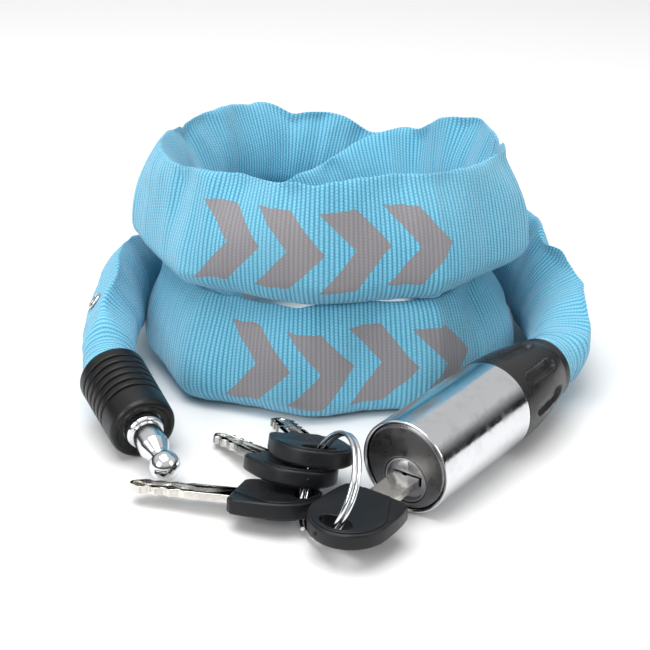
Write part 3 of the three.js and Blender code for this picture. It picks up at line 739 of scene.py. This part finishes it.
def add_plug():
    """The key plug: a dished face with a narrow rim, and the keyway cut into it."""
    profile = [(0, 2.0), (5.6, 2.0), (6.05, 0.75), (6.4, 0.6), (6.5, 0.75), (6.5, 24), (0, 24)]
    plug = lathe("plug_body", profile, PLUG_FRAME, 0.08, segments=128)
    slot_outline = [(-4.3, -1.4), (4.3, -1.4), (4.3, 1.4), (-4.3, 1.4)]
    keyway = plate("keyway", slot_outline, 39.0, 0.02, PLUG_FRAME)
    bitten(plug, keyway)
    for face in plug.data.polygons:
        if abs(face.normal.dot(BARREL_AXIS)) > 0.999:
            face.use_smooth = False
    return dress(plug, DARK_STEEL, "plug", "nickel", "key_plug")


add_shell()
add_face()
add_cap()
add_plug()

# ------------------------------------------------------------------ keys and ring

def bow_outline():
    """Outline of a key's moulded bow: a half round end, full sides and a short flat shoulder."""
    half = KEY["width"] / 2
    end = -KEY["slot_to_end"]
    shoulder = end + KEY["length"]
    side = []
    for i in range(9):
        t = i / 8
        x = (1 - t) ** 2 * (shoulder - 1.2) + 2 * t * (1 - t) * (shoulder - 5) + t ** 2 * (end + half)
        y = (1 - t) ** 2 * 9.9 + 2 * t * (1 - t) * half + t ** 2 * half
        side.append((x, y))
    rounded = arc((end + half, 0), half, 90, 270, 32)
    upper = [(shoulder, 8.4), *side]
    lower = [(x, -y) for x, y in reversed(upper)]
    return [*upper, *rounded[1:-1], *lower]


def panel_outline():
    """The raised middle of the bow's face: round at the end, and cut away slanting towards the shoulder."""
    inset = 1.0
    half = KEY["width"] / 2 - inset
    middle = -KEY["slot_to_end"] + inset + half
    shoulder = KEY["length"] - KEY["slot_to_end"] - 0.6
    rounded = arc((middle, 0), half, 90, 270, 32)
    return [(shoulder, 4.2), (middle + 1.5, half), *rounded, (middle + 1.5, -half), (shoulder, -4.2)]


def lens_slot():
    """The ring slot, a lens across the bow."""
    long, wide = KEY["slot"][1] / 2, KEY["slot"][0] / 2
    angles = [2 * math.pi * i / 40 for i in range(40)]
    return [(wide * math.cos(a), long * math.sin(a)) for a in angles]


def add_bow(number, matrix, body):
    thick = KEY["thick"]
    core = plate(f"bow_core_{number}", bow_outline(), thick - 0.7, 0.75, matrix, [lens_slot()])
    parts = [core]
    for sign in (1, -1):
        lift = sign * (thick / 2 - 0.55)
        parts.append(plate(f"bow_panel_{number}", panel_outline(), 1.1, 0.22, matrix, [lens_slot()], lift))
        for i in range(6):
            spot = Vector((7.4 + 1.9 * (i % 2), 3.6 - 1.6 * (i // 2), sign * (thick / 2 - 0.02)))
            dot = [(0, 0.16), (0.3, 0.08), (0.42, -0.05)]
            place = matrix @ Matrix.Translation(spot) @ Matrix.Scale(sign, 4, (0, 0, 1))
            parts.append(lathe(f"bow_dot_{number}", dot, place, 0.05, segments=12))
    outward = Matrix.Rotation(math.radians(-90), 4, "Y")
    gate = matrix @ Matrix.Translation((-KEY["slot_to_end"] + 0.25, 3.4, 0)) @ outward
    parts.append(lathe(f"bow_gate_{number}", [(0, 0.1), (0.5, 0.1), (0.62, -0.3)], gate, 0.08, segments=16))
    bow = joined(f"key_handle_{number}", parts)
    return dress(bow, KEY_PLASTIC, body, "key_plastic", f"key_bow_{number}")


def blade_outline():
    """The blade: a plain root, and a wavy cut over the half towards its tip."""
    half, cuts_from = 4.0, KEY_TIP - KEY["cuts"]
    edge = [(KEY_SHOULDER - 8, -3), (KEY_SHOULDER, -3), (KEY_SHOULDER, -half), (cuts_from, -half)]
    for i in range(1, 31):
        t = i / 30
        dip = 0.5 - 0.5 * math.cos(2 * math.pi * t * 3.4)
        edge.append((cuts_from + 15 * t, -half + dip * (0.75 + 0.5 * t) + 0.25 * t))
    edge += [(KEY_TIP - 0.9, -1.9), (KEY_TIP, -0.8)]
    return edge + [(x, -y) for x, y in reversed(edge)]


def track_outline():
    """The winding track milled into each flat of the blade."""
    half, path = 0.75, []
    for i in range(25):
        t = i / 24
        winding = 1.2 * math.sin(2 * math.pi * t * 1.6 + 0.6) * (1 - 0.3 * t)
        path.append((KEY_TIP - KEY["cuts"] + 16 * t, winding))
    return [(x, y + half) for x, y in path] + [(x, y - half) for x, y in reversed(path)]


def add_blade(number, matrix, body):
    blade = plate(f"blade_core_{number}", blade_outline(), KEY["blade_thick"], 0.14, matrix)
    tracks = []
    for sign in (1, -1):
        tracks.append(plate(f"blade_track_{number}", track_outline(), 1.3, 0.02, matrix, (), sign * 1.35))
    bitten(blade, *tracks)
    blade.name = f"key_steel_{number}"
    return dress(blade, NICKEL, body, "nickel", f"key_blade_{number}")


def key_frames():
    """The placing matrix and body of each key."""
    slot_point = Vector(JOINTS["ring_swing"]["pos_m"])
    width_way = UP.cross(BARREL_AXIS)
    turn = Matrix((BARREL_AXIS, width_way, UP)).transposed().to_4x4()
    frames = {1: (Matrix.Translation(slot_point) @ turn @ Matrix.Scale(MM, 4), "working_key")}
    for number, (heading, slope, roll) in SPARE_KEYS.items():
        place = Vector(JOINTS[f"spare_key_{number}_swing"]["pos_m"])
        turn = Matrix.Rotation(math.radians(heading), 4, "Z")
        turn = turn @ Matrix.Rotation(math.radians(-slope), 4, "Y")
        turn = turn @ Matrix.Rotation(math.radians(roll), 4, "X")
        frames[number] = (Matrix.Translation(place) @ turn @ Matrix.Scale(MM, 4), f"spare_key_{number}")
    return frames


def add_ring():
    """The split ring: a coil of nearly two turns of round wire."""
    data = bpy.data.curves.new("split_ring_wire", "CURVE")
    data.dimensions = "3D"
    spline = data.splines.new("POLY")
    count = 180
    spline.points.add(count)
    for i, point in enumerate(spline.points):
        t = i / count
        angle = 2 * math.pi * RING["turns"] * t
        z = RING["pitch"] * RING["turns"] * (t - 0.5)
        point.co = (RING["radius"] * math.cos(angle), RING["radius"] * math.sin(angle), z, 1)
    data.bevel_depth = RING["wire"] / 2
    data.bevel_resolution = 5
    data.use_fill_caps = True
    mesh = mesh_of_curve("split_ring_wire", data)
    mesh.transform(RING_FRAME)
    ring = object_of("key_ring_wire", mesh, 40)
    return dress(ring, CHROME, "key_ring", "polished_steel", "split_ring")


for key_number, (key_matrix, key_body) in key_frames().items():
    add_blade(key_number, key_matrix, key_body)
    add_bow(key_number, key_matrix, key_body)
add_ring()

# ------------------------------------------------------------------ boot and locking pin

def add_boot():
    """The rubber boot: a recessed front, a wide plain band, then narrow grooves to its rear."""
    r, end, bore = BOOT["radius"], BOOT["length"], BOOT["bore"]

    def outside(z):
        return r + BOOT["flare"] * z / end

    step = (end - BOOT["groove_start"] - 2) / BOOT["grooves"]
    grooves = []
    for i in range(BOOT["grooves"]):
        z = BOOT["groove_start"] + i * step
        deep = outside(z) - 0.9
        grooves += [(outside(z), z), (deep, z + 0.35), (deep, z + 0.75), (outside(z), z + 1.1)]
    lip = PIN["collar"] + 0.3
    profile = [
        (lip, 0.8), (r - 2.4, 0.8), (r - 1.5, 0.0), (r - 0.5, 0.3), (r, 1.5), *grooves,
        (outside(end), end - 0.7), (outside(end) - 0.9, end), (bore, end), (bore, 20.2),
        (6.8, 19.6), (6.8, 1.9), (lip, 1.9),
    ]
    boot = lathe("boot_skin", profile, BOOT_FRAME, 0.35, closed=True, segments=120)
    return dress(boot, RUBBER, "lock", "boot_rubber", "pin_boot")


def add_pin():
    """The locking pin: ball, waist, cone, shaft and collar, turned from one bar and chromed."""
    ball, centre = PIN["ball"] - 0.1, PIN["ball_z"]
    neck, shaft, collar, shank = PIN["neck"], PIN["shaft"], PIN["collar"], PIN["shank"]
    head = [(0, centre - ball)]
    for i in range(1, 25):
        angle = math.radians(-90 + i * 143 / 24)
        head.append((ball * math.cos(angle), centre + ball * math.sin(angle)))
    profile = [
        *head, (neck, -12.9), (neck, -12.4), (shaft, -8.6), (shaft, -1.9), (collar - 0.5, -1.9),
        (collar, -1.1), (collar, 1.1), (collar - 0.5, 1.6), (shank, 1.6), (shank, 9), (0, 9),
    ]
    pin = lathe("pin_bar", profile, BOOT_FRAME, 0.22, segments=112)
    return dress(pin, CHROME, "pin", "polished_steel", "locking_pin")


boot_piece = add_boot()
pin_piece = add_pin()

# ------------------------------------------------------------------ floor and light

def add_floor():
    """A wide sheet of plain pale paper."""
    reach = 6.0
    corners = [(-reach, -reach, 0), (reach, -reach, 0), (reach, reach, 0), (-reach, reach, 0)]
    mesh = bpy.data.meshes.new("floor")
    mesh.from_pydata(corners, [], [(0, 1, 2, 3)])
    floor = bpy.data.objects.new("floor", mesh)
    bpy.context.scene.collection.objects.link(floor)
    shader = Shader("floor_paper", (0.78, 0.78, 0.78), 0.75)
    mesh.materials.append(shader.material)


def add_light(name, place, target, size, power):
    data = bpy.data.lights.new(name, "AREA")
    data.shape = "RECTANGLE"
    data.size, data.size_y = size
    data.energy = power
    light = bpy.data.objects.new(name, data)
    light.location = place
    light.rotation_euler = (Vector(target) - Vector(place)).to_track_quat("-Z", "Y").to_euler()
    bpy.context.scene.collection.objects.link(light)


def add_world():
    """A pale room, bright overhead and dark at the height of the horizon, for the metal to reflect."""
    world = bpy.data.worlds.new("studio")
    world.use_nodes = True
    bpy.context.scene.world = world
    nodes, links = world.node_tree.nodes, world.node_tree.links
    direction = nodes.new("ShaderNodeTexCoord").outputs["Generated"]
    split = nodes.new("ShaderNodeSeparateXYZ")
    links.new(direction, split.inputs[0])
    ramp = nodes.new("ShaderNodeValToRGB")
    links.new(split.outputs[2], ramp.inputs[0])
    stops = ((0.03, 0.02), (0.15, 0.04), (0.3, 0.4), (0.45, 1.1), (1.0, 1.0))
    elements = ramp.color_ramp.elements
    elements[0].position = 0.0
    elements[0].color = (0.02, 0.02, 0.02, 1)
    elements.remove(elements[1])
    for place, grey in stops:
        elements.new(place).color = (grey, grey, grey, 1)
    links.new(ramp.outputs[0], nodes["Background"].inputs["Color"])
    nodes["Background"].inputs["Strength"].default_value = 0.62


add_floor()
add_world()
add_light("softbox_top", (-0.15, -0.1, 1.1), (0, 0, 0), (1.0, 0.8), 12)
add_light("softbox_left", (-0.8, -0.75, 0.6), (0, 0, 0.04), (0.5, 0.5), 6)
add_light("softbox_right", (0.85, -0.45, 0.6), (0, 0, 0.04), (0.3, 0.5), 2.5)
bpy.context.scene.view_settings.view_transform = "Standard"
